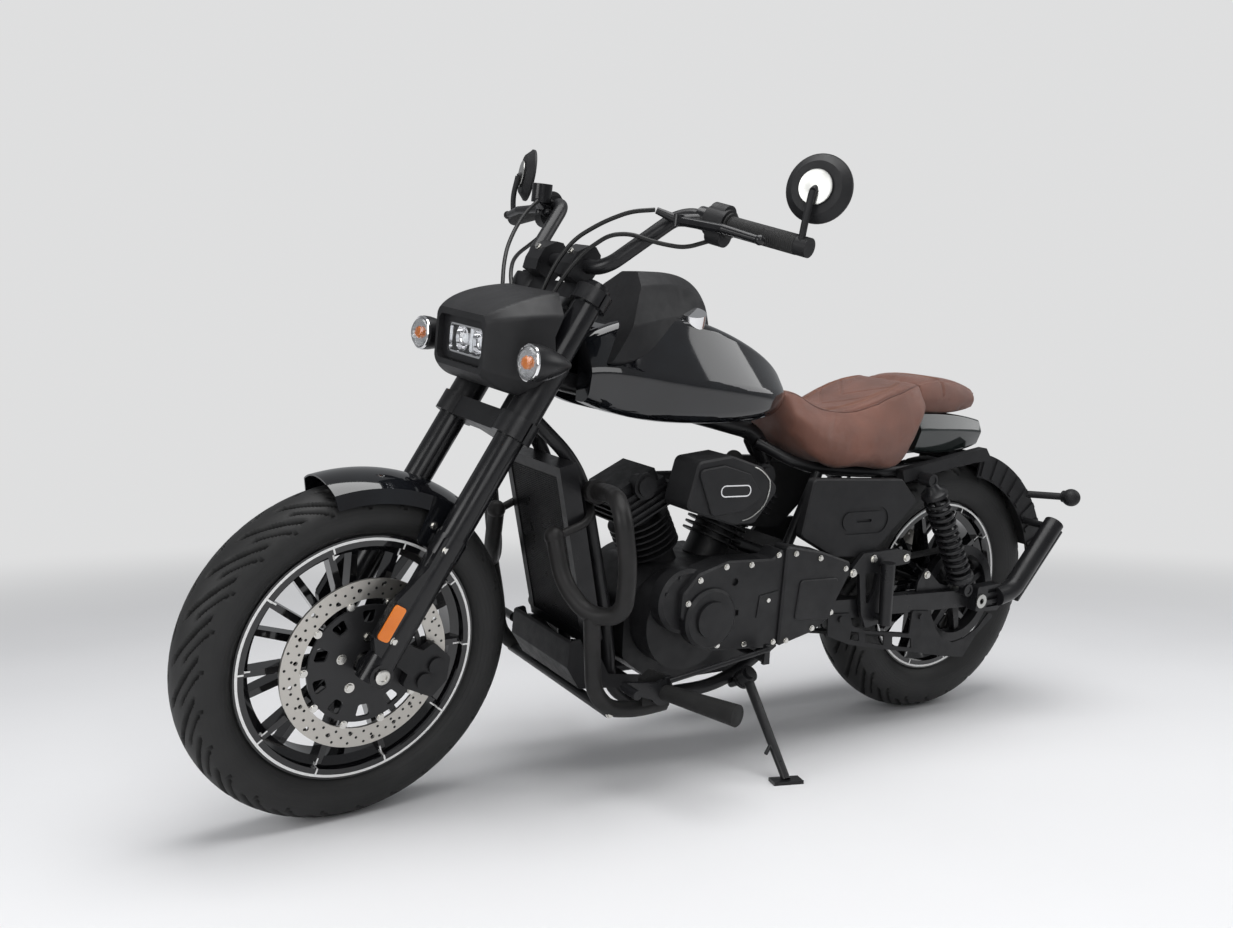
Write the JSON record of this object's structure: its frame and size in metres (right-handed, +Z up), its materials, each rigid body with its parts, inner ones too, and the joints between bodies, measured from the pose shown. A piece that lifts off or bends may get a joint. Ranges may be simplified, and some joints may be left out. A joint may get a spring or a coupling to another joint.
{
  "type": "cruiser motorcycle",
  "caption": "Low cruiser motorcycle with a V-twin engine, belt drive, wide bars, teardrop tank and stepped saddle, leaning on its side stand.",
  "frame": {"origin": "on the ground under the middle of the machine's outline as it leans on its side stand", "axes": "+X forward along the machine, +Y to the rider's left, +Z up"},
  "size_m": [2.1503, 1.0083, 1.3451],
  "materials": {
    "gloss_black": "gloss",
    "matt_plastic": "matt",
    "black_metal": "satin",
    "tyre": "matt",
    "rubber": "matt",
    "leather": "satin",
    "grey_green": "gloss",
    "steel": "brushed",
    "chrome": "polished",
    "engine": "satin",
    "alloy": "gloss",
    "lens": "clear"
  },
  "bodies": {
    "frame": {"frame": "black_metal", "crankcase": "engine", "cylinders": "engine", "primary_cover": "matt_plastic", "belt_cover": "matt_plastic", "case_cover": "matt_plastic", "intake_cover": "matt_plastic", "radiator": "alloy", "radiator_shroud": "matt_plastic", "exhaust": "black_metal", "fuel_tank": "gloss_black", "tank_console": "matt_plastic", "fuel_cap": "chrome", "rider_seat": "leather", "pillion_seat": "leather", "tail_cover": "grey_green", "tail_strut": "matt_plastic", "side_panels": "matt_plastic", "swingarm": "black_metal", "rear_axle": "steel", "rear_shocks": "black_metal", "rear_hugger": "matt_plastic", "hugger_bracket": "black_metal", "rear_lamps": "matt_plastic", "belt_guard": "matt_plastic", "drive_belt": "rubber", "front_pulley": "steel", "crash_bar": "black_metal", "cross_rod": "black_metal", "footrests": "black_metal", "foot_controls": "black_metal", "peg_brackets": "black_metal", "passenger_pegs": "black_metal", "rear_caliper": "alloy", "stand_bracket": "black_metal"},
    "side_stand": {"side_stand": "black_metal"},
    "steering": {"fork_sliders": "black_metal", "fork_tubes": "black_metal", "fork_covers": "black_metal", "fork_clamps": "black_metal", "front_axle": "steel", "front_fender": "gloss_black", "headlight_cowl": "matt_plastic", "headlight_lamp": "lens", "front_signals": "matt_plastic", "handlebar": "black_metal", "bar_risers": "black_metal", "grips": "rubber", "control_pods": "matt_plastic", "levers": "alloy", "mirrors": "matt_plastic", "front_caliper": "alloy", "control_cables": "rubber"},
    "front_wheel": {"front_tyre": "tyre", "front_rim": "alloy", "front_disc": "steel"},
    "rear_wheel": {"rear_tyre": "tyre", "rear_rim": "alloy", "rear_disc": "steel", "rear_pulley": "alloy"}
  },
  "joints": [
    {"name": "steering", "type": "hinge", "parent": "frame", "child": "steering", "pos_m": [0.42063, -0.03166, 0.80064], "axis": [-0.495, 0.1249, 0.8599], "range_deg": [-42, 28]},
    {"name": "front_wheel_spin", "type": "hinge", "parent": "steering", "child": "front_wheel", "pos_m": [0.76249, -0.09665, 0.3091], "axis": [-0.106, 0.9735, -0.2025], "continuous": true},
    {"name": "rear_wheel_spin", "type": "hinge", "parent": "frame", "child": "rear_wheel", "pos_m": [-0.73716, -0.10131, 0.32263], "axis": [-0.0001, 0.9896, -0.1438], "continuous": true},
    {"name": "side_stand", "type": "hinge", "parent": "frame", "child": "side_stand", "pos_m": [-0.0553, 0.03257, 0.18626], "axis": [-0.0391, 0.7911, 0.6105], "range_deg": [0, 92]}
  ]
}
